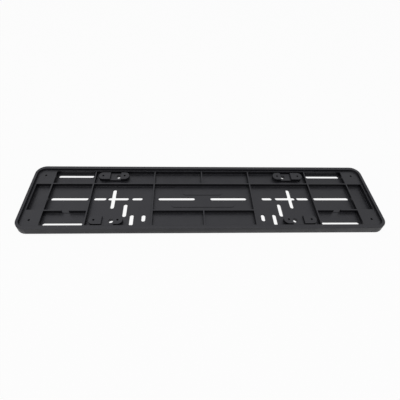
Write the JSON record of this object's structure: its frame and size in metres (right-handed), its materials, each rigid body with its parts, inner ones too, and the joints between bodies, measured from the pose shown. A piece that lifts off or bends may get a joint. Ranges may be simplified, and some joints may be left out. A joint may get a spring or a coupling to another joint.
{
  "type": "number plate holder",
  "caption": "Flat moulded frame with a raised rim that holds a long number plate, with ribs, seats and many screw slots.",
  "frame": {"origin": "middle of the flat back face, which it lies on", "axes": "+X along the plate's length, +Y towards the plate's top edge, +Z out of the back face towards the plate"},
  "size_m": [0.532, 0.1224, 0.0118],
  "materials": {
    "charcoal_plastic": "dark charcoal moulded plastic with a fine satin grain"
  },
  "bodies": {
    "root": {"plate_frame": "charcoal_plastic"}
  },
  "joints": []
}
